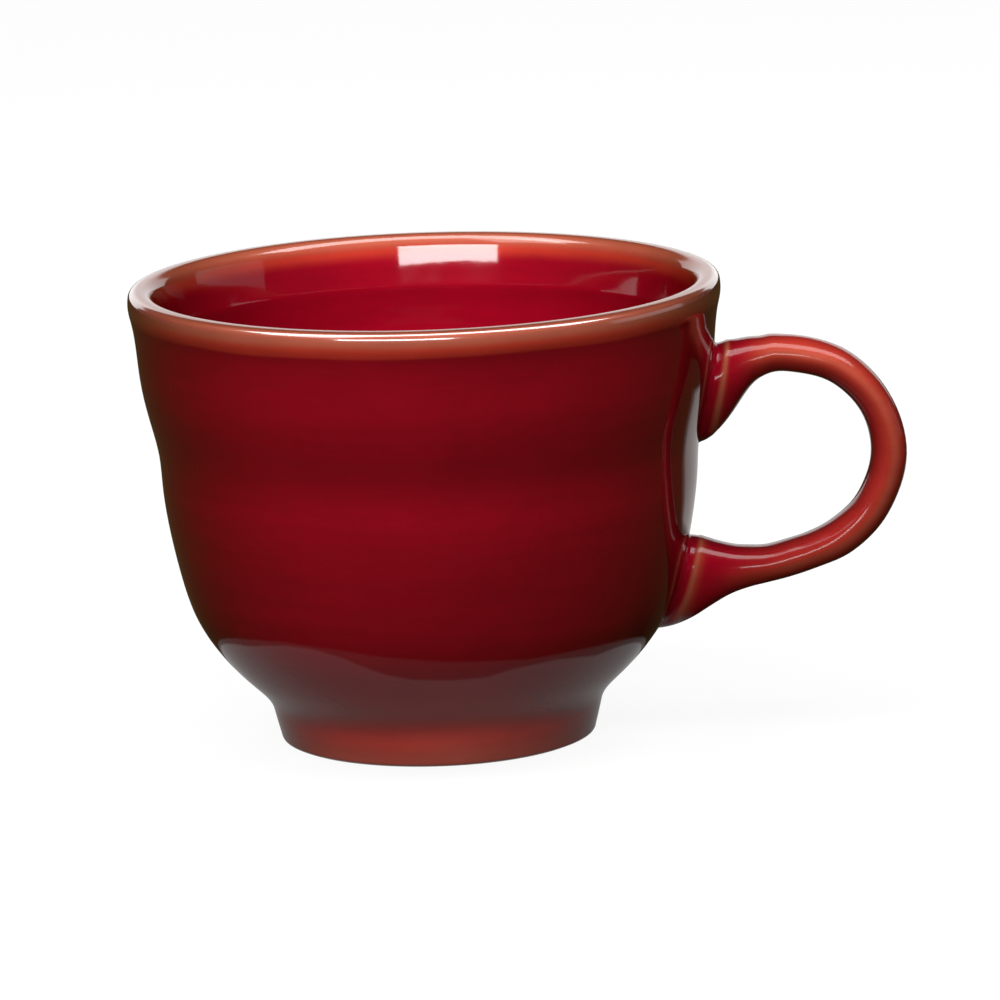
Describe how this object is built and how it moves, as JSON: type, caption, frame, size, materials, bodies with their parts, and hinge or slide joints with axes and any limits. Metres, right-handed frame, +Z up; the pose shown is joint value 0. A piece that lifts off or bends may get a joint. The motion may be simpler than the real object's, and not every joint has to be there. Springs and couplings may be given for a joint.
{
  "type": "handled cup",
  "caption": "Wide glazed ceramic cup with a flared bowl, rounded lip, low foot ring and one upright ring handle.",
  "frame": {"origin": "centre of the foot's flat contact ring, on the plane that the cup stands on", "axes": "+Z up along the bowl's axis, +X from that axis towards the handle, +Y to the left of someone who looks along +X"},
  "size_m": [0.1492, 0.114, 0.0889],
  "materials": {
    "clay": "matt vitrified",
    "slip": "matt vitrified",
    "glaze": "gloss"
  },
  "bodies": {
    "root": {"bowl_body": "clay", "foot_ring": "clay", "handle": "clay", "upper_slip_joint": "slip", "lower_slip_joint": "slip", "inner_glaze": "glaze", "outer_glaze": "glaze", "handle_glaze": "glaze", "underside_glaze": "glaze"}
  },
  "joints": []
}
